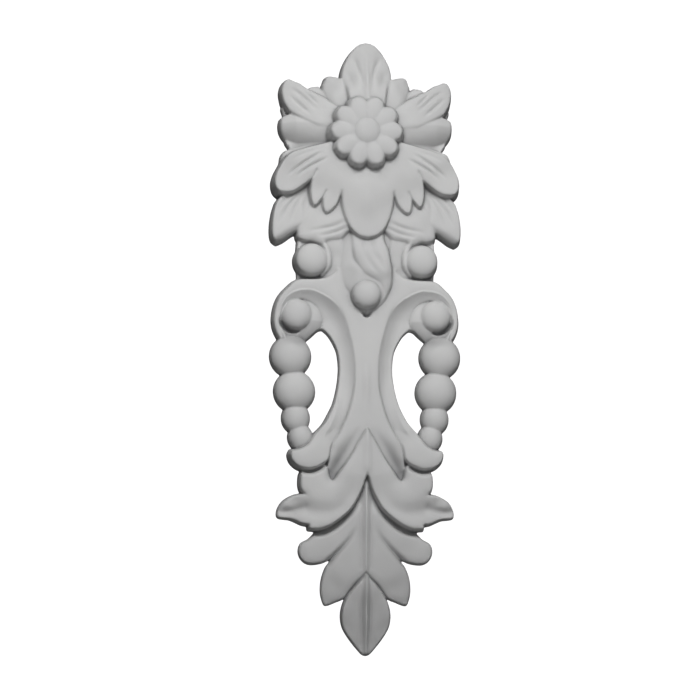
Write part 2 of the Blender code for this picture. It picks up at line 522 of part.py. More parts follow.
def build():
    for old in list(bpy.data.objects):
        bpy.data.objects.remove(old, do_unlink=True)
    applique = bpy.data.objects.new("floral_applique", relief_block(whole_relief(GRID_STEP)))
    applique.data.materials.append(plaster())
    collection("floral applique").objects.link(applique)
    fewer = applique.modifiers.new("fewer_faces", "DECIMATE")
    fewer.ratio = KEPT_FACES
    flat = applique.modifiers.new("flat_back", "BOOLEAN")
    flat.operation = "DIFFERENCE"
    flat.solver = "EXACT"
    flat.object = back_cutter(collection("cutters"))


build()
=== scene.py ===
"""Looks of the floral applique: the finely carved cast, its matt paint, the light and the camera.

The relief is worked out as a height above the back, in millimetres, and the mesh is scaled to metres.
"""

import math

import bmesh
import bpy
import mathutils
import numpy as np
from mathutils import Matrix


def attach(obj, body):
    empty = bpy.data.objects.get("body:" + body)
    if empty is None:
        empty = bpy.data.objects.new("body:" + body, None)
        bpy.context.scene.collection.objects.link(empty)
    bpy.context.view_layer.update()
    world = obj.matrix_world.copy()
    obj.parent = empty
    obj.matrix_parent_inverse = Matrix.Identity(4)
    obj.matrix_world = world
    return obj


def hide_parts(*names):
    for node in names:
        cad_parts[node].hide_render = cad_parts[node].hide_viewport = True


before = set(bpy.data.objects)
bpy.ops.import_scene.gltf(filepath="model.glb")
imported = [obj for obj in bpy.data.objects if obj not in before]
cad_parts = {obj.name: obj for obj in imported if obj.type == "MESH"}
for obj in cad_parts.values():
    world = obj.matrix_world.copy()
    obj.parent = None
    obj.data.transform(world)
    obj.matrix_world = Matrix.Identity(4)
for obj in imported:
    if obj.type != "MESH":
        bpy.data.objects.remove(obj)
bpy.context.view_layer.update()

MM = 0.001

# The block that the relief is worked out on
HALF_WIDTH = 52.0
HALF_HEIGHT = 155.0
GRID_STEP = 0.32
BEHIND_BACK = 2.5
MOST_FACES = 190000

# The outlines were read off a picture taken from a little below: these sizes put them in place
HALF_LENGTH = 150.0
VIEW_SAG = 2.96
VIEW_TAPER = 0.0189

# How a raised shape's edge and its side wall are cut, and how surfaces meet
WALL_SLOPE = 8.0
SOFT_SLOPE = 4.5
EDGE_ROUND = 1.0
EDGE_DROP = 0.7
CREASE_BLEND = 0.35
REACH_OF_WALLS = 7.0
SPOT_SPREAD = 4.0
DOME_LIMIT = 0.965
SINK_RISE = 3.0
# A round outline ends at this angle, in degrees, one step before its start
FULL_TURN = 351

# The flower
FLOWER = (-1.1, 102.1)
PETALS = 10
PETAL_REACH = 17.2
PETAL_HALF_WIDTH = 4.4
PETAL_HEIGHT = 22.0
DISC_RADIUS = 11.5
FLOWER_LEAN = 0.07
BOSS_RADIUS = 6.0
BOSS_RISE = 2.3

# The pearls and the eyes of the scrolls: x, z, radius. The beads: x, z, half-width, half-height, rise
SIDE_PEARL = (26.5, 42.0, 7.8)
MIDDLE_PEARL = (-0.5, 25.1, 6.9)
EYE = (33.5, 15.9, 7.6)
BEADS = ((36.2, -3.9, 10.0, 10.2, 9.5), (34.3, -20.9, 10.0, 10.2, 9.5),
         (33.7, -33.8, 6.8, 7.6, 7.5), (31.5, -43.1, 6.0, 6.6, 7.5))
BEAD_FOOT = 1.6

# Levels of the main surfaces above the back
GROUND = 4.5
SHOULDER = 9.0
SCROLL_FLOOR = 4.6
SCROLL_COVE = 3.4
COVE_REACH = 6.5
BAND_SWELL = 5.0
BAND_REACH = 5.5

# The round ring that carries an eye
RING_CENTRE = (31.2, 13.0)
RING_RADIUS = 10.3
RING_FOOT = 3.6
RING_RISE = 4.0
RING_POWER = 2.6
RING_FALL = 0.34

# How soft and how uneven the cast is
SOFTEN = 0.28
UNEVEN = 0.12
WAVES = ((0.31, 0.22, 0.4), (-0.24, 0.37, 1.9), (0.53, -0.18, 3.1), (0.12, 0.61, 5.2), (-0.71, -0.44, 0.7))

# The mesh stays just inside the solid, and its back just in front of the plane of the back (in metres)
INSET = 0.9998
BACK_GAP = -2e-6
BACK_FACING = 0.999
LOWEST_KEPT = -0.5

# Painted shade: how far round a point creases and wide hollows are looked for, and how deep the darkest are
CREASE_REACH = 0.75
CREASE_DEPTH = 1.6
HOLLOW_REACH = 3.5
HOLLOW_DEPTH = 9.0
HOLLOW_MOST = 0.5
# Painted shade where the light falls off: the foot is greyer, from a height downwards
FOOT_SHADE = 0.47
FOOT_TOP = -80.0
FOOT_POWER = 0.7
# Painted shadows on the low surfaces beside the tongues, under the eyes and along their lower side
PAINTED_SHADOWS = (([(8.5, -44.0), (12.5, -50.5), (15.2, -56.0), (17.3, -61.5)], (0.2, 0.5, 0.6, 0.5), 2.6),
          ([(23.0, 10.0), (26.5, 5.5), (32.0, 3.0), (38.0, 4.0)], (0.1, 0.4, 0.5, 0.3), 2.8),
          ([(30.5, 8.2), (35.4, 8.0), (39.2, 10.0), (41.2, 13.6)], (0.1, 0.8, 0.9, 0.2), 1.4))
PAINTED_SHADOW_TOP = 11.0
# Full painted shade, its dark colour, and how far in front of the flat back it starts to fade (in metres)
PAINTED_SHADE_MOST = 0.78
PAINTED_SHADE_COLOUR = (0.14, 0.14, 0.145, 1.0)
SHADE_FADE_BACK = 3e-4

# The paint, and its mottling, dull patches and grain (noise scale and detail)
PAINT_DARK = (0.60, 0.60, 0.60, 1.0)
PAINT_LIGHT = (0.66, 0.66, 0.655, 1.0)
MOTTLING = (28.0, 4.0)
DULLNESS = (60.0, 3.0)
ROUGHNESS = (0.62, 0.82)
GRAIN = (900.0, 3.0)
GRAIN_STRENGTH = 0.25
GRAIN_HEIGHT = 0.0002
GLOSS = 0.35

# The studio: sheets (place, turn, size) and lights (place, aim, power, size, spread in degrees)
FLOOR = ((0, 0, -1.0), (0, 0, 0), 4.0)
BACKDROP = ((0.31, 3.0, 0.41), (math.radians(90), 0, 0), 1.8)
BACKDROP_GLOW = 1.1
LIGHTS = {"key": ((-0.06, -1.0, 0.58), (0, 0, 0.045), 0.45, 0.35, 36.0),
          "front": ((0.0, -1.6, 0.2), (0, 0, 0), 4.0, 0.5, 180.0)}
SKY = 0.05

# The camera, a little below and to the left, as for the photograph
CAMERA_PLACE = (-0.12, -1.08, -0.15)
CAMERA_AIM = (-0.0072, 0.0, -0.0031)
LENS_MM = 116.9


def smooth_path(points, count=None):
    """Points along a smooth curve through a few given points."""
    points = np.asarray(points, float)
    if len(points) == 2:
        return np.linspace(points[0], points[1], count or 6)
    padded = np.vstack([2 * points[0] - points[1], points, 2 * points[-1] - points[-2]])
    found = []
    for s in np.linspace(0.0, len(points) - 1.0001, count or 4 * len(points)):
        i = int(s)
        t = s - i
        a, b, c, d = padded[i : i + 4]
        found.append(0.5 * (2 * b + (c - a) * t + (2 * a - 5 * b + 4 * c - d) * t**2
                            + (3 * b - a - 3 * c + d) * t**3))
    return np.array(found)


def arc(centre, radius, start, end, count=40):
    """Points along a round arc, its angles in degrees from +X towards +Z."""
    angles = np.radians(np.linspace(start, end, count))
    return np.stack([centre[0] + radius * np.cos(angles), centre[1] + radius * np.sin(angles)], axis=1)


def outline(*runs, whole=False):
    """One closed outline from runs of points that meet in corners. A whole one gets its mirror half."""
    half = np.vstack([smooth_path(run) for run in runs])
    return np.vstack([half, (half * (-1, 1))[::-1]]) if whole else half


def nearest(x, z, path):
    """For each point its distance to the path, and how far along the path that is (0 to 1)."""
    best = np.full(x.shape, np.inf)
    along = np.zeros(x.shape)
    steps = len(path) - 1
    for i in range(steps):
        ax, az = path[i]
        dx, dz = path[i + 1] - path[i]
        t = np.clip(((x - ax) * dx + (z - az) * dz) / (dx * dx + dz * dz + 1e-12), 0.0, 1.0)
        rx, rz = x - ax - t * dx, z - az - t * dz
        square = rx * rx + rz * rz
        closer = square < best
        best[closer] = square[closer]
        along[closer] = (i + t[closer]) / steps
    return np.sqrt(best), along


def inside(x, z, closed):
    """True for the points inside a closed outline."""
    found = np.zeros(x.shape, bool)
    for (ax, az), (bx, bz) in zip(closed, np.roll(closed, -1, axis=0)):
        if az != bz:
            crosses = (az > z) != (bz > z)
            found ^= crosses & (x < (bx - ax) * (z - az) / (bz - az) + ax)
    return found


def along_values(t, values):
    """A value that changes smoothly along a path through evenly spaced given values."""
    curve = smooth_path(np.asarray(values, float)[:, None], 60)[:, 0]
    return np.interp(t, np.linspace(0.0, 1.0, len(curve)), curve)


def spot_surface(x, z, spots):
    """A smooth surface through a few spot heights, each (x, z, height)."""
    total = np.zeros(x.shape)
    weights = np.zeros(x.shape)
    for sx, sz, height in spots:
        weight = 1.0 / ((x - sx) ** 2 + (z - sz) ** 2 + SPOT_SPREAD**2) ** 1.5
        total += weight * height
        weights += weight
    return total / weights


def folded(x, z, folds):
    """The ridges (positive) and creases (negative) along paths: (points, rises along it, half-width)."""
    found = np.zeros(x.shape)
    for points, rises, half in folds:
        gap, along = nearest(x, z, smooth_path(points, 24))
        found += along_values(along, rises) * np.exp(-((gap / half) ** 2))
    return found


def flat(level):
    """A level top surface."""
    return lambda x, z: np.full(x.shape, level)


class Relief:
    """The height of the front above the back, on a grid over the whole ornament."""

    def __init__(self, step):
        xs = np.arange(-HALF_WIDTH, HALF_WIDTH + step / 2, step)
        zs = np.arange(-HALF_HEIGHT, HALF_HEIGHT + step / 2, step)
        self.x, self.z = np.meshgrid(xs, zs)
        self.height = np.full(self.x.shape, -BEHIND_BACK)

    def join(self, mask, found, blend=CREASE_BLEND):
        """Joins a shape on, with a small fillet where the two surfaces cross."""
        old = self.height[mask]
        overlap = np.clip(blend - np.abs(old - found), 0.0, None)
        fillet = overlap**2 / (4 * blend) * (found > -BEHIND_BACK)
        self.height[mask] = np.maximum(old, found) + fillet

    def shape(self, closed, top, mirrored=True, blend=CREASE_BLEND, slope=WALL_SLOPE, edge=EDGE_ROUND,
              pillow=0.0, reach=4.0):
        """Adds a body with this outline and the top surface that top(x, z) gives.

        Its edge is rounded, and its side walls have a draft. It swells by pillow over the distance reach.
        """
        x = np.abs(self.x) if mirrored else self.x
        low = closed.min(axis=0) - REACH_OF_WALLS
        high = closed.max(axis=0) + REACH_OF_WALLS
        mask = (x > low[0]) & (x < high[0]) & (self.z > low[1]) & (self.z < high[1])
        x, z = x[mask], self.z[mask]
        gap = nearest(x, z, np.vstack([closed, closed[:1]]))[0]
        surface = top(x, z) - pillow
        rounding = EDGE_DROP * edge * (1 - np.clip(gap / edge, 0.0, 1.0)) ** 2
        swell = pillow * (1 - (1 - np.clip(gap / reach, 0.0, 1.0)) ** 2)
        wall = surface - EDGE_DROP * edge - slope * gap
        self.join(mask, np.where(inside(x, z, closed), surface + swell - rounding, wall), blend)

    def plate(self, closed, spots, folds=(), **options):
        """Adds a body whose top goes through spot heights and is folded along paths."""
        self.shape(closed, lambda x, z: spot_surface(x, z, spots) + folded(x, z, folds), **options)

    def leaf(self, points, width, heights, widest=0.6, root=0.7, point=0.5, crown=1.5, **options):
        """Adds a leaf along a path. heights run along its middle, and its edges lie crown below that."""
        path = smooth_path(points, 40)
        t = np.linspace(0.0, 1.0, len(path))
        swell = root + (1 - root) * np.sin(np.pi / 2 * np.clip(t / widest, 0.0, 1.0))
        close = np.clip((t - widest) / (1 - widest), 0.0, 1.0)
        spread = width * swell * np.clip(1 - close**2, 0.0, 1.0) ** point
        tangent = np.gradient(path, axis=0)
        tangent /= np.linalg.norm(tangent, axis=1)[:, None]
        normal = np.stack([-tangent[:, 1], tangent[:, 0]], axis=1) * spread[:, None]

        def top(x, z):
            gap, along = nearest(x, z, path)
            across = np.clip(gap / np.maximum(np.interp(along, t, spread), 0.3), 0.0, 1.0)
            return along_values(along, heights) - crown * across**2

        self.shape(np.vstack([path + normal, (path - normal)[::-1]]), top, **options)

    def dome(self, x0, z0, radii, rise, foot, mirrored=True, blend=CREASE_BLEND, power=2.0):
        """Adds a pearl: half an ellipsoid of the given rise that stands on a foot of the given height."""
        x = (np.abs(self.x) if mirrored else self.x) - x0
        z = self.z - z0
        share = np.sqrt((x / radii[0]) ** 2 + (z / radii[1]) ** 2)
        near = share < 2.2
        cap = foot + rise * np.clip(1 - np.minimum(share, DOME_LIMIT) ** power, 0.0, 1.0) ** (1 / power)
        wall = WALL_SLOPE * min(radii) * np.clip(share - DOME_LIMIT, 0.0, None)
        self.join(near, (cap - wall)[near], blend)

    def sink(self, path, half, floors):
        """Cuts a round-bottomed channel along a path and its mirror image, down to the floor heights."""
        for sign in (1, -1):
            gap, along = nearest(sign * self.x, self.z, path)
            bottom = along_values(along, floors) + (gap / half) ** 2 * SINK_RISE
            deep = (gap < 2 * half) & (self.height > bottom)
            self.height[deep] = bottom[deep]


def ground(relief):
    """The low ground behind the flower and the neck that carries the leaves."""
    relief.shape(arc((0.0, 98.0), 30.0, 0, FULL_TURN), flat(GROUND), mirrored=False)
    neck = outline([(20, 80), (19, 58), (16, 40), (10, 30), (0, 30)], whole=True)
    relief.shape(neck, flat(GROUND - 0.5))


def crown_leaves(relief):
    """The leaves above and beside the flower."""

    def rolled(x, z):
        """The leaf beside the flower is a roll that turns away downwards and gets thinner outwards."""
        crest = 16.5 - 0.15 * x - 0.2 * np.clip(x - 34, 0.0, 8.0) - 0.3 * np.clip(z - 107.5, 0.0, 8.0)
        turn = np.clip((110.0 - z) / 11.5, 0.0, 1.0) ** 2.6
        return crest - (2.6 + 0.26 * np.clip(x - 17, 0.0, 24.0)) * turn

    small = outline([(16, 118), (22.2, 125.6), (24.1, 126.1), (26.1, 125.9), (27.5, 125.1), (30, 121),
                     (24, 112), (12, 108)])
    relief.plate(small, ((14, 112, 10.5), (25, 124, 7.5)), pillow=1.2)
    back = outline([(7, 118), (11.0, 128.5), (13, 130.2), (16.4, 131.2), (18.3, 131.2), (19.6, 130.5),
                    (20.5, 128), (21, 125.6), (18, 117), (11, 107), (5, 106)])
    relief.plate(back, ((12, 122, 11.0), (20, 127, 7.4), (10, 110, 13.0)), pillow=1.6)
    upper = outline([(20, 119.5), (28.5, 123.9), (32.1, 126.5), (35.1, 127.7), (37, 128.5), (38.7, 128.2),
                     (39.7, 127), (40.5, 125.3), (40.9, 122.9), (40.6, 120.5), (39.9, 117.6), (38.4, 114.7),
                     (37, 112.7), (34.6, 111.3)], [(24, 106), (8, 104), (8, 110), (20, 119.5)])
    lines = (([(36.9, 124.4), (30.5, 119.5), (23.7, 113.3)], (0, -0.7, -0.7, 0), 0.8),
             ([(37.8, 121.0), (32, 115.5), (26, 110.4)], (0, -0.7, -0.7, 0), 0.8),
             ([(30.2, 122.6), (23.4, 115.9)], (0, -0.6, -0.6, 0), 0.7))
    relief.plate(upper, ((10, 106, 14.5), (22, 112, 13.0), (30, 117, 12.0), (39, 122, 10.4)), lines,
                 pillow=0.7)
    behind = outline([(20, 104), (37, 103), (39.4, 106), (39.6, 112), (39.0, 117), (20, 117)])
    relief.shape(behind, flat(4.0))
    middle = outline([(8, 112), (20, 114), (30, 113.4), (36.5, 112.0), (39.7, 111), (41, 110)],
                     [(41, 110), (41.4, 107.5), (41.2, 104.5), (40.4, 102.0), (39.2, 100.0), (37.2, 98.1),
                      (30, 95.5), (8, 97)])
    relief.shape(middle, rolled, edge=1.2, blend=2.4)
    under = outline([(10, 106), (34, 106), (37.6, 103.4), (38.8, 100.2), (37.4, 97.2), (33, 94), (10, 94)])
    relief.plate(under, ((36, 101, 4.4), (28, 98, 5.0), (35, 96, 4.6), (28, 94.5, 5.4), (18, 98, 11.0),
                         (22, 97, 8.0)), edge=0.8)
    petal = outline([(8, 104), (8.7, 117), (9.2, 121), (9.8, 124.4), (11.3, 127.9), (12.1, 130.6),
                     (11.6, 134.5), (9.9, 138.9), (7.5, 142.8), (4.7, 145.8), (2.4, 147.2), (0, 147.7)],
                    whole=True)
    flutes = (([(6.6, 140.5), (4.9, 136.6), (2.9, 130.6), (2.4, 121.6)], (0, -0.8, -0.8, 0), 1.1),
              ([(10, 134), (7.4, 128.6), (6.2, 120.6)], (0, -0.4, -0.4, 0), 1.4),
              ([(0, 145), (0, 106)], (0, 0.5, 0.7, 0.7), 0.9))
    relief.plate(petal, ((0, 104, 19.6), (0, 116, 17.6), (0, 126, 13.6), (0, 139, 10.2), (0, 147, 7.6),
                         (11.5, 131, 8.2), (8, 140.5, 7.6), (9, 120, 14.0)), flutes, pillow=0.8, slope=11.0)


def lower_leaves(relief):
    """The veined leaf that hangs behind the bib, and the small one above it."""
    small = outline([(22, 99), (36.7, 95.7), (39.4, 94.5), (40.8, 92.6), (41.4, 90.3), (41.4, 87.4),
                     (36, 84), (20, 88)])
    relief.plate(small, ((30, 94, 8.6), (38, 93, 7.0), (41.4, 88, 3.0)), pillow=1.2)
    leaf = outline([(30, 82), (41.2, 72.2), (43.9, 67.4), (45.1, 61.5), (45.4, 56.0), (44.8, 52.0),
                    (43.2, 50.2)],
                   [(43.2, 50.2), (40.2, 51.6), (36.6, 54.2), (33.4, 56.0), (29.8, 57.2), (27.6, 57.4),
                    (27.0, 60.8)], [(22, 63), (18, 78), (30, 82)])
    veins = [([(24, 79), ((24 + x) / 2 + 2, (79 + z) / 2 + 1.5), (x, z)], (0, -0.6, -0.6, 0), 0.9)
             for x, z in ((44.0, 64.5), (43.4, 58.0), (37.5, 58.5), (31.0, 61.0))]
    bevel = [([(44.0, 48.8), (40.4, 50.2), (36.8, 52.8), (33.6, 54.6), (30.0, 55.8), (27.0, 56.2)],
              (-3.6, -3.4, -3.0, -2.6), 2.3)]
    relief.plate(leaf, ((26, 74, 8.4), (40, 70, 9.0), (44, 56, 10.4), (32, 61, 9.6)), veins + bevel,
                 pillow=0.4, edge=0.7)


def bib(relief):
    """The seven-lobed leaf that hangs under the flower."""
    edge = outline([(0, 112), (9, 108), (15, 98.5)],
                   [(15, 98.5), (22.6, 96.5), (27.5, 95.3), (32.3, 93.8), (36.8, 92.1), (40.0, 89),
                    (41.9, 85.9), (43.5, 82.7), (44.3, 79.3), (43.8, 75.9), (42.1, 73.9), (39.2, 73.4),
                    (36.0, 73.8), (33.3, 75.2), (30.4, 77.2), (26.5, 80.3), (24.4, 83.8)],
                   [(24.4, 84.3), (26.6, 79.6), (27.3, 75.2), (27.1, 71.4), (26.4, 68.5), (25.4, 67.3),
                    (23.9, 68.3), (21.8, 70.9), (19.8, 74.3)],
                   [(19.8, 74.3), (21.3, 70.6), (21.3, 67), (20.3, 64.6), (18.9, 64.3), (16.9, 65.6),
                    (14.5, 68.5), (12.6, 74.0)],
                   [(12.6, 74.0), (12.3, 68.6), (11.6, 64.9), (10.4, 61.3), (8.7, 57.7), (6.7, 55),
                    (3.8, 52.9), (0, 52.0)], whole=True)
    lines = (([(38.8, 81.4), (30.0, 87.8), (21.2, 93.2)], (0, -1.0, -1.0, 0), 0.7),
             ([(34.9, 80.7), (27.0, 86.0), (18.9, 90.2)], (0, -1.0, -1.0, 0), 0.7),
             ([(37.5, 88.5), (30.0, 92.2), (20.0, 95.0)], (0, -0.3, -0.3, 0), 0.8),
             ([(0, 86), (0, 58)], (0, 0.3, 0.3, 0), 2.4))
    relief.plate(edge, ((0, 100, 15.8), (0, 75, 16.6), (0, 54, 14.6), (12, 86, 15.8), (25, 88, 15.6),
                        (40, 82, 13.0), (26, 71, 13.2), (19, 66, 13.2), (30, 92, 15.0)), lines, pillow=0.4,
                 reach=2.0, edge=0.6)


def flower(relief):
    """Ten round petals in a ring about a low boss. The flower leans: it stands out further at its foot."""
    centre = np.array(FLOWER)

    def level(z):
        return PETAL_HEIGHT - FLOWER_LEAN * (z - FLOWER[1])

    disc = arc(FLOWER, DISC_RADIUS, 0, FULL_TURN)
    relief.shape(disc, lambda x, z: level(z) - 0.6, mirrored=False, edge=2.0)
    for i in range(PETALS):
        angle = 2 * math.pi * (i + 0.5) / PETALS
        out = np.array([math.sin(angle), math.cos(angle)])
        path = [centre + 3 * out, centre + 10 * out, centre + PETAL_REACH * out]
        heights = [level(point[1]) - drop for point, drop in zip(path, (1.2, 0.0, 1.0))]
        relief.leaf(path, PETAL_HALF_WIDTH, heights, crown=1.0, widest=0.66, root=0.3, point=0.4,
                    mirrored=False, edge=1.2, slope=SOFT_SLOPE)
    relief.dome(*FLOWER, (BOSS_RADIUS, BOSS_RADIUS), BOSS_RISE, PETAL_HEIGHT - 0.9, mirrored=False,
                blend=1.0)


def collars(relief):
    """The fluted rolls under the bib, with a cup and a pearl under each."""
    cup = outline([(32.2, 56), (33.2, 50), (33.6, 42), (33.2, 32)], [(33.2, 32), (24, 31), (17.5, 32)],
                  [(17.5, 32), (12, 36), (11, 46), (12, 57)])
    relief.plate(cup, ((32.5, 53, 5.4), (33, 36, 2.2), (24, 33, 3.0), (15, 50, 9.6), (14, 40, 9.2),
                       (17, 36, 7.6)), slope=14.0)
    x, z, radius = SIDE_PEARL
    relief.leaf([(21.2, 50.3), (19.3, 47.5), (18.2, 43.0), (18.8, 38.5), (22.0, 34.5)], 1.3,
                (9.8, 10.6, 10.4, 7.0), crown=0.5, root=0.9, point=0.4, edge=0.8)
    relief.dome(x, z, (radius, radius), 5.2, 8.2, power=2.3)
    edge = outline([(33.3, 58), (33.2, 53.2), (31.8, 51.8), (29.4, 51.1), (26, 50.9), (23, 49.6),
                    (20.1, 48.4)],
                   [(20.1, 48.4), (19.4, 50.6), (17.2, 51.1), (12.4, 51.9), (10, 54.3), (8, 56.2)],
                   [(2, 62), (14, 74), (28, 68), (33.3, 58)])
    flutes = (([(8.0, 58.6), (14.8, 55.2), (24.4, 52.8)], (0, -0.7, -0.7, 0), 0.9),
              ([(9.9, 61.0), (17.2, 57.8), (28.8, 55.6)], (0, -0.7, -0.7, 0), 0.9))
    relief.plate(edge, ((12, 60, 11.8), (20, 54, 11.2), (31, 55, 9.6), (20, 68, 10.0)), flutes, pillow=1.6,
                 reach=3.5)


def twisted_leaf(relief):
    """The folded leaf in the middle, which curls over a pearl."""
    base = outline([(-8, 58), (-10.7, 52.2), (-12.2, 48.8), (-13.1, 44.4), (-13.4, 39.6), (-13.1, 34.2),
                    (-11.4, 30.3), (-9.3, 27.4), (-6.8, 24.3), (-6.1, 21.6), (-4.9, 19.2), (-2.5, 16.7),
                    (-0.3, 15.3)],
                   [(-0.3, 15.3), (2.4, 17.2), (5.8, 19.6), (8.7, 22.6), (10.7, 26), (12.0, 30),
                    (12.2, 34.2), (11.9, 38.6), (11.1, 42.5), (10.2, 47.3), (8.7, 51), (8, 58)])
    relief.shape(arc((0.0, 52.0), 12.0, 0, FULL_TURN), flat(8.4), mirrored=False)
    relief.plate(base, ((-8, 56, 10.6), (-11, 44, 10.4), (-10, 35, 10.4), (-3.5, 37, 13.6), (0, 30, 12.6),
                        (0, 20, 12.0), (8, 24, 12.4), (-7, 25, 12.0), (0, 54, 10.6)), mirrored=False,
                 edge=0.7, pillow=2.8, reach=6.5)
    lobe = outline([(-7.6, 58), (-7.5, 52.8), (-7, 47), (-6.1, 42.1), (-3.9, 37.8), (-2.2, 35.5),
                    (0.2, 33.9), (3.1, 32.4), (5.6, 30), (7.2, 27.1), (7.5, 24.2), (7.4, 22.0)],
                   [(7.4, 22.0), (8.9, 23.4), (10.4, 26.5), (11.7, 30), (11.9, 34.2), (11.6, 38.6),
                    (10.8, 42.5), (9.9, 47.3), (8.4, 51), (7.6, 58)])
    soft = (([(-2.5, 54), (-1.5, 46), (2.5, 38), (7.0, 33.5)], (0, -0.5, -0.5, 0), 1.2),
            ([(2.0, 54), (3.2, 46), (6.2, 40.5), (9.2, 35)], (0, -0.6, -0.6, 0), 1.2))
    relief.plate(lobe, ((0, 54, 11.0), (0, 42, 14.6), (7, 38, 15.4), (9.5, 30, 13.2), (8, 24, 11.4)), soft,
                 mirrored=False, pillow=1.4, reach=4.0)
    x, z, radius = MIDDLE_PEARL
    relief.dome(x, z, (radius, radius), radius - 1.2, 11.2, mirrored=False, power=2.3)
    under_pearl = smooth_path([(-2.8, 17.2), (-0.3, 15.4), (2.4, 17.2)], 12)
    relief.sink(under_pearl, 0.9, (9.0, 5.5, 9.0))


# Outlines that the plate, its rims, the trunk and the scrolls share
PLATE_TOP = [(0, 40), (13.7, 38.9), (14.6, 36.9), (16.5, 35.0), (19.5, 33.5), (24.3, 32.8), (31.6, 32.6),
             (35.0, 31.3), (37.9, 28.6), (40.3, 26.2), (42.3, 23.1), (43.7, 19.2), (44.4, 14.4),
             (44.2, 10.5), (43.2, 7.1), (41.3, 3.7)]
RIM_INNER = [(39.3, 4.4), (40.2, 8.1), (41.5, 12.5), (41.6, 16.9), (40.6, 20.6), (38.3, 23.9), (35.4, 26.1),
             (31.5, 27.4)]
TRUNK_SIDE = [(31.5, 27.4), (26.7, 27.5), (21.8, 25.7), (16.9, 22.7), (13, 18.8), (10.6, 13.5), (8.7, 7.2),
              (7.2, 1.3), (6.2, -5), (5.8, -11.3), (6, -18.1), (7.2, -25.4), (9.6, -33.7), (13, -41),
              (16.5, -47.3), (17.9, -53.2), (18.8, -59.5), (18.6, -63.5)]


def shoulders_and_trunk(relief):
    """The smooth plate over both scrolls with their rims, the trunk, and the tongues at its foot."""
    edge = outline(PLATE_TOP, RIM_INNER, TRUNK_SIDE, [(17.4, -65.2), (11.0, -57.5), (4.5, -47.0), (0, -42)],
                   whole=True)
    folds = (([(0, -6), (0, -34)], (0, 0.7, 0.5, 0), 1.4),
             ([(3.0, -38), (7.5, -46), (12.5, -54), (16.5, -60)], (0, -1.2, -1.4, -1.0), 2.2))
    relief.plate(edge, ((0, 30, SHOULDER), (20, 30, SHOULDER), (34, 29, 8.8), (44, 15, 8.2), (41, 5, 7.2),
                        (0, 0, SHOULDER), (0, -20, SHOULDER), (5, -35, 9.4), (12, -45, 9.8), (16, -52, 8.6),
                        (17, -57, 7.2), (18, -62, 5.4), (8, -48, 9.5)), folds, pillow=0.3, reach=3.0,
                 edge=0.8, slope=6.0)


def side_scroll(relief):
    """The C-scroll: a hollow band that starts round an eye, runs beside the trunk and ends in a curl."""
    cove_edge = np.vstack([smooth_path(RIM_INNER), smooth_path(TRUNK_SIDE)])
    floor_edge = outline([(34, 29), (42, 22), (43, 12), (41, 4.5), (36, 2.5), (31.5, 2.2), (28.2, 3.9),
                          (25.6, 6.2), (23.4, 8.3), (21.0, 9.1)],
                         [(21.0, 9.1), (17.9, 6.2), (15.3, 1.9), (13.6, -2.6), (12.9, -10.3), (13.9, -19.6),
                          (16.1, -28.2), (19.6, -35.6), (24.4, -41.5)],
                         [(24.4, -41.5), (18, -50), (8, -40), (3, -30), (3, 10), (14, 26), (34, 29)])

    def hollow(x, z):
        """The cove beside the rim and the trunk, the band that swells towards the curl, and the ring."""
        gap = nearest(x, z, cove_edge)[0]
        rise = SCROLL_COVE * (1 - np.clip(gap / COVE_REACH, 0.0, 1.0)) ** 2
        swell = np.clip((-10 - z) / 30, 0.0, 1.0)
        outwards = np.clip(gap / BAND_REACH, 0.0, 1.0)
        level = SCROLL_FLOOR + 1.2 * np.clip((z - 14.0) / 10.0, 0.0, 1.0)
        level += rise * (1 - 0.6 * swell) + BAND_SWELL * swell**1.4 * outwards
        share = np.hypot(x - RING_CENTRE[0], z - RING_CENTRE[1]) / RING_RADIUS
        bulge = RING_FOOT + RING_RISE * np.clip(1 - share**RING_POWER, 0.0, 1.0) ** (1 / RING_POWER)
        bulge -= RING_FALL * np.clip(RING_CENTRE[1] - z, 0.0, 10.0)
        return np.where(share < 1, np.maximum(level - 1.6, bulge), level)

    relief.shape(floor_edge, hollow, edge=0.9, slope=14.0)
    curl = outline([(9.4, -29), (13.4, -41), (17.0, -47.5), (18.3, -53.5)],
                   [(18.3, -53.5), (19.7, -55.2), (23.1, -57.4), (27.5, -58.7), (32.4, -57.9), (35.7, -55.2),
                    (36.8, -52.0), (36.1, -50.0)],
                   [(35.9, -50.0), (32.2, -49.4), (28.4, -47.2), (26.2, -44.2), (24.4, -41.5), (22.2, -39.2),
                    (19.6, -35.6), (16.1, -28.2)])
    relief.plate(curl, ((12, -28, 3.4), (15, -30, 5.6), (14, -38, 6.6), (18.5, -36, 8.4), (16, -43, 8.0),
                        (22, -42, 10.2), (20, -50, 10.4), (25, -49, 11.6), (30, -54, 12.2),
                        (36, -51, 12.0), (27, -50, 12.2)), pillow=0.7, reach=4.0, slope=8.0, edge=0.6)
    x, z, radius = EYE
    relief.sink(arc((x, z), radius + 0.6, 252, 350, 24), 1.2, (6.0, 3.0, 1.2, 1.2, 3.6, 8.4))
    relief.dome(x, z, (radius, radius), 6.4, 4.4, power=2.3)


def bead_strings(relief):
    """Four graded beads that hang from each volute to the curl."""
    for x, z, half_width, half_height, rise in BEADS:
        relief.dome(x, z, (half_width, half_height), rise, BEAD_FOOT, blend=0.3, power=2.25)


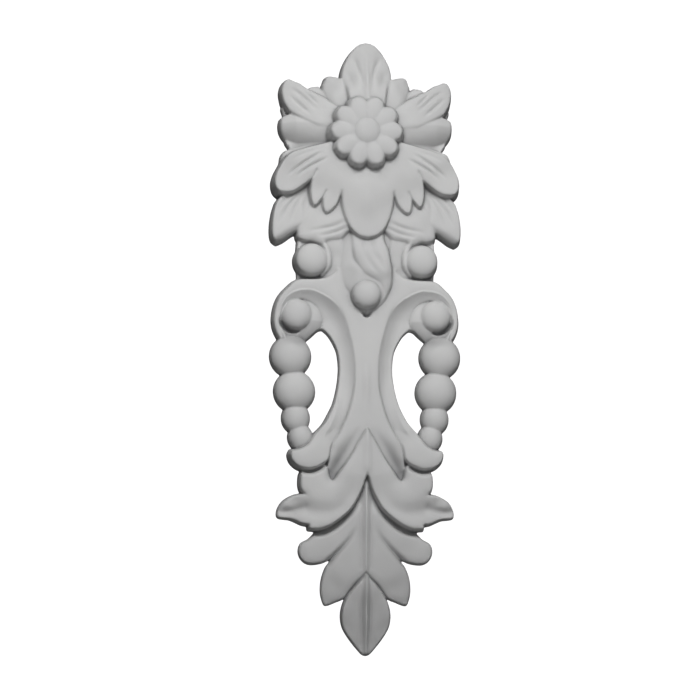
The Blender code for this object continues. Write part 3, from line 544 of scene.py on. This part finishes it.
def chevron(relief):
    """The winged leaf that spreads under the trunk."""
    wing = outline([(0, -39.0), (3.3, -44.2), (8.1, -52.8), (13, -60), (17.0, -64.2), (20.0, -56.0),
                    (25.0, -54.5), (30.0, -56.5), (31.6, -61), (32.0, -66.0), (31.4, -69.0), (29.8, -71.0)],
                   [(29.8, -71.0), (34.6, -71.6), (39.6, -74.2), (42.2, -77.6), (42.9, -80.2), (42.3, -82.1),
                    (39.8, -82.6), (37.0, -82.8), (34.2, -83.8), (31.0, -85.2), (27.8, -85.6)],
                   [(27.8, -85.6), (27.6, -87.8)],
                   [(27.6, -87.8), (22.7, -87.9), (17.8, -86.1), (13, -82.9), (8.1, -78.5), (4.7, -73.2),
                    (2.3, -68.1), (0, -61.0)], whole=True)
    folds = (([(33.0, -76.5), (23.5, -79.6), (14.4, -78.6), (8, -72.0), (3.8, -62.0)],
              (-1.2, -1.8, -2.0, -1.4, 0), 4.0),
             ([(41.2, -79.4), (36, -79.4), (30, -77.4)], (-1.4, -2.8, -1.0), 1.9),
             ([(19.4, -56.2), (23.1, -58.7), (27.6, -60.0), (33.4, -58.9)], (-3.0, -5.0, -5.0, -4.0), 1.3),
             ([(0, -39), (0, -62)], (0.8, 0.8, 0.8), 1.6))
    relief.plate(wing, ((0, -45, 12.4), (0, -58, 12.6), (8, -60, 12.2), (20, -86, 11.2), (9, -76, 12.0),
                        (14, -80, 12.0), (24, -66, 10.4), (31, -66, 10.2), (19, -63, 9.8), (36, -77, 7.6),
                        (42, -80, 4.6), (31, -83, 7.6), (26.5, -87, 10.4), (16, -70, 11.4)), folds,
                 pillow=0.8, slope=9.0)


def tail_leaf(relief):
    """The lobed leaf at the foot and its tip leaf, with their midrib."""
    lobes = outline([(0, -60), (14, -72), (22, -84), (26.8, -91.9), (31, -94.5), (32.4, -97.7),
                     (31.9, -100.9), (30.2, -103.3), (28, -104.5), (25.6, -104.7), (22.2, -104.2),
                     (17.4, -102.8)],
                    [(17.4, -102.8), (18.8, -105.5), (20.5, -109.4), (21.6, -113.8), (21.8, -118.7),
                     (21, -122.6), (20.2, -124.5), (19.2, -124.9), (17.3, -124.4), (14.4, -123.1),
                     (11.9, -122.1), (10.2, -120.9)], [(10.2, -120.9), (6, -115), (0, -109)], whole=True)
    folds = (([(18.4, -104.0), (14.8, -100.2), (11.4, -96.7), (7.5, -91.9), (4.6, -86.5)],
              (-3.4, -2.8, -2.0, -1.0, 0), 1.3),
             ([(0, -62), (0, -108)], (1.2, 1.3, 1.0), 0.9),
             ([(2.6, -66), (2.6, -106)], (-0.5, -0.8, -0.3), 1.2),
             ([(2.0, -68.0), (5.6, -77.0), (13.0, -85.0), (20.0, -89.2), (28.0, -89.6)],
              (-1.0, -2.4, -2.8, -2.8), 1.4))
    relief.plate(lobes, ((0, -80, 6.6), (0, -100, 5.6), (26, -98, 5.2), (31, -99, 4.4), (18, -118, 3.8),
                         (20, -124, 2.8), (10, -108, 5.8), (12, -92, 5.8)), folds, pillow=1.0)
    tip = outline([(0, -109.6), (2.6, -112.4), (6.1, -116.5), (9.2, -120.9), (11.0, -125.1), (11.8, -129.9),
                   (11.3, -134.6), (9.7, -138.2), (6.8, -142.5), (3.8, -146.4), (1.7, -148.6), (0, -149.2)],
                  whole=True)
    folds = (([(0, -110), (0, -147.5)], (1.4, 1.8, 1.8, 1.4), 0.9),
             ([(2.3, -114), (2.3, -143)], (0, -0.8, -1.0, -0.4), 1.2))
    relief.plate(tip, ((0, -115, 7.2), (10, -126, 5.8), (4, -130, 4.6), (0, -147, 2.6), (9, -138, 3.6)),
                 folds)


def whole_relief(step):
    """Every motif, from the ground up."""
    relief = Relief(step)
    for motif in (ground, crown_leaves, lower_leaves, shoulders_and_trunk, side_scroll, collars,
                  twisted_leaf, bib, flower, bead_strings, tail_leaf, chevron):
        motif(relief)
    return relief


def blurred(values, reach):
    """The values softened over a distance in grid steps."""
    span = np.arange(-int(3 * reach + 1), int(3 * reach + 1) + 1)
    kernel = np.exp(-0.5 * (span / reach) ** 2)
    kernel /= kernel.sum()

    def soften(line):
        return np.convolve(np.pad(line, len(span) // 2, "edge"), kernel, "valid")

    for axis in (0, 1):
        values = np.apply_along_axis(soften, axis, values)
    return values


def painted_shade_map(height, x, z):
    """How much shade is painted on, 0 to 1: in creases, less in wide hollows, towards the foot and as
    painted shadows along a few paths.
    """
    # painted shade in creases, and less of it in wide hollows
    narrow = (blurred(height, CREASE_REACH / GRID_STEP) - height) / CREASE_DEPTH
    wide = (blurred(height, HOLLOW_REACH / GRID_STEP) - height) / HOLLOW_DEPTH
    # painted shade, deeper towards the foot
    foot = FOOT_SHADE * np.clip((FOOT_TOP - z) / (HALF_HEIGHT + FOOT_TOP), 0.0, 1.0) ** FOOT_POWER
    # painted shadows along the given paths, only on the low surfaces
    painted_shadows = folded(np.abs(x), z, PAINTED_SHADOWS) * np.clip(PAINTED_SHADOW_TOP - height, 0.0, 1.0)
    total = np.clip(narrow, 0.0, 1.0) + np.clip(wide, 0.0, HOLLOW_MOST) + foot + painted_shadows
    return np.clip(total, 0.0, 1.0)


def uneven(x, z):
    """The slight unevenness that carving and casting leave on smooth surfaces."""
    return sum(np.sin(a * x + b * z + c) for a, b, c in WAVES) * UNEVEN / len(WAVES)


def cast_mesh(relief):
    """The front of the relief cut off in the plane of the back, closed with a flat back."""
    relief.height = blurred(relief.height + uneven(relief.x, relief.z), SOFTEN / GRID_STEP)
    rows, columns = relief.x.shape
    x = relief.x * (1 + VIEW_TAPER * relief.z / HALF_LENGTH)
    z = relief.z - VIEW_SAG * (1 - (relief.z / HALF_LENGTH) ** 2)
    front = np.stack([x * INSET, -relief.height, z * INSET], axis=-1).reshape(-1, 3) * MM
    index = np.arange(rows * columns).reshape(rows, columns)
    quads = np.stack([index[:-1, :-1], index[:-1, 1:], index[1:, 1:], index[1:, :-1]], axis=-1)
    quads = quads.reshape(-1, 4)
    kept = quads[(relief.height.reshape(-1)[quads] > LOWEST_KEPT).any(axis=1)]
    mesh = bpy.data.meshes.new("applique_cast")
    mesh.from_pydata(front.tolist(), [], kept.tolist())
    # shade painted into creases and hollows, towards the foot and along a few paths, kept at each point
    shade_amount = painted_shade_map(relief.height, relief.x, relief.z).reshape(-1).astype(np.float32)
    painted_shade = mesh.attributes.new("painted_shade", "FLOAT", "POINT")
    painted_shade.data.foreach_set("value", shade_amount)
    work = bmesh.new()
    work.from_mesh(mesh)
    bmesh.ops.delete(work, geom=[v for v in work.verts if not v.link_faces], context="VERTS")
    everything = work.verts[:] + work.edges[:] + work.faces[:]
    bmesh.ops.bisect_plane(work, geom=everything, plane_co=(0, 0, 0), plane_no=(0, 1, 0), clear_outer=True)
    for corner in work.verts:
        corner.co.y = min(corner.co.y, BACK_GAP)
    rim = [edge for edge in work.edges if edge.is_boundary]
    bmesh.ops.triangle_fill(work, use_beauty=True, edges=rim)
    bmesh.ops.triangulate(work, faces=work.faces[:])
    bmesh.ops.recalc_face_normals(work, faces=work.faces[:])
    work.to_mesh(mesh)
    work.free()
    mesh.shade_smooth()
    # the flat back is shaded flat
    for face in mesh.polygons:
        if face.normal.y > BACK_FACING:
            face.use_smooth = False
    return mesh


def painted_plaster():
    """Matt off-white paint with a little mottling, a fine grain and duller patches, with shade painted into
    the creases and hollows.
    """
    material = bpy.data.materials.new("painted_plaster")
    material.use_nodes = True
    nodes, links = material.node_tree.nodes, material.node_tree.links
    shader = nodes["Principled BSDF"]
    place = nodes.new("ShaderNodeTexCoord").outputs["Object"]

    def noise(scale, detail):
        node = nodes.new("ShaderNodeTexNoise")
        node.inputs["Scale"].default_value = scale
        node.inputs["Detail"].default_value = detail
        links.new(place, node.inputs["Vector"])
        return node.outputs["Fac"]

    tone = nodes.new("ShaderNodeValToRGB")
    tone.color_ramp.elements[0].position = 0.3
    tone.color_ramp.elements[0].color = PAINT_DARK
    tone.color_ramp.elements[1].position = 0.7
    tone.color_ramp.elements[1].color = PAINT_LIGHT
    links.new(noise(*MOTTLING), tone.inputs["Fac"])
    shade_amount = nodes.new("ShaderNodeAttribute")
    shade_amount.attribute_name = "painted_shade"
    share = nodes.new("ShaderNodeMath")
    share.operation = "MULTIPLY"
    links.new(shade_amount.outputs["Fac"], share.inputs[0])
    # the painted shade fades out at the back, which stays plain against the wall
    depth = nodes.new("ShaderNodeSeparateXYZ")
    links.new(place, depth.inputs["Vector"])
    shade_fade = nodes.new("ShaderNodeMapRange")
    shade_fade.inputs["From Min"].default_value = -SHADE_FADE_BACK
    shade_fade.inputs["From Max"].default_value = BACK_GAP
    shade_fade.inputs["To Min"].default_value = PAINTED_SHADE_MOST
    shade_fade.inputs["To Max"].default_value = 0.0
    links.new(depth.outputs["Y"], shade_fade.inputs["Value"])
    links.new(shade_fade.outputs["Result"], share.inputs[1])
    # the paint is mixed towards a dark grey where shade is painted on
    with_shade = nodes.new("ShaderNodeMix")
    with_shade.data_type = "RGBA"
    factor, unshaded, painted_shade = (with_shade.inputs[i] for i in (0, 6, 7))
    links.new(share.outputs["Value"], factor)
    links.new(tone.outputs["Color"], unshaded)
    painted_shade.default_value = PAINTED_SHADE_COLOUR
    links.new(with_shade.outputs[2], shader.inputs["Base Color"])
    dull = nodes.new("ShaderNodeMapRange")
    dull.inputs["To Min"].default_value, dull.inputs["To Max"].default_value = ROUGHNESS
    links.new(noise(*DULLNESS), dull.inputs["Value"])
    links.new(dull.outputs["Result"], shader.inputs["Roughness"])
    grain = nodes.new("ShaderNodeBump")
    grain.inputs["Strength"].default_value = GRAIN_STRENGTH
    grain.inputs["Distance"].default_value = GRAIN_HEIGHT
    links.new(noise(*GRAIN), grain.inputs["Height"])
    links.new(grain.outputs["Normal"], shader.inputs["Normal"])
    shader.inputs["Specular IOR Level"].default_value = GLOSS
    return material


def plain(name, colour, roughness, glow=0.0):
    """One colour all over, which may glow white."""
    material = bpy.data.materials.new(name)
    material.use_nodes = True
    shader = material.node_tree.nodes["Principled BSDF"]
    shader.inputs["Base Color"].default_value = colour
    shader.inputs["Roughness"].default_value = roughness
    shader.inputs["Emission Color"].default_value = (1, 1, 1, 1)
    shader.inputs["Emission Strength"].default_value = glow
    return material


def sheet(name, place, turn, size, material):
    """A flat sheet of the studio."""
    bpy.ops.mesh.primitive_plane_add(size=size, location=place, rotation=turn)
    item = bpy.context.active_object
    item.name = name
    item.data.materials.append(material)


def aimed(item, place, aim):
    """Puts a lamp or the camera in its place, turned to what it looks at."""
    item.location = place
    towards = mathutils.Vector(aim) - mathutils.Vector(place)
    item.rotation_euler = towards.to_track_quat("-Z", "Y").to_euler()
    bpy.context.scene.collection.objects.link(item)


def soft_light(name, place, aim, power, size, spread):
    """A square soft light."""
    lamp = bpy.data.lights.new(name, "AREA")
    lamp.energy = power
    lamp.size = size
    lamp.spread = math.radians(spread)
    aimed(bpy.data.objects.new(name, lamp), place, aim)


applique = bpy.data.objects.new("applique_cast", cast_mesh(whole_relief(GRID_STEP)))
bpy.context.scene.collection.objects.link(applique)
faces = len(applique.data.polygons)
if faces > MOST_FACES:
    fewer = applique.modifiers.new("fewer_faces", "DECIMATE")
    fewer.ratio = MOST_FACES / faces
applique.data.materials.append(painted_plaster())
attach(applique, "root")
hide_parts("floral_applique")

sheet("floor", *FLOOR, plain("floor_paint", (0.8, 0.8, 0.8, 1), 0.9))
sheet("backdrop", *BACKDROP, plain("backdrop_paper", (0.0, 0.0, 0.0, 1), 1.0, BACKDROP_GLOW))
for name, settings in LIGHTS.items():
    soft_light(name, *settings)

scene = bpy.context.scene
scene.world = bpy.data.worlds.new("studio")
scene.world.use_nodes = True
sky = scene.world.node_tree.nodes["Background"]
sky.inputs["Color"].default_value = (1.0, 1.0, 1.0, 1.0)
sky.inputs["Strength"].default_value = SKY
scene.view_settings.view_transform = "Standard"

camera = bpy.data.objects.new("camera", bpy.data.cameras.new("camera"))
camera.data.lens = LENS_MM
aimed(camera, CAMERA_PLACE, CAMERA_AIM)
scene.camera = camera
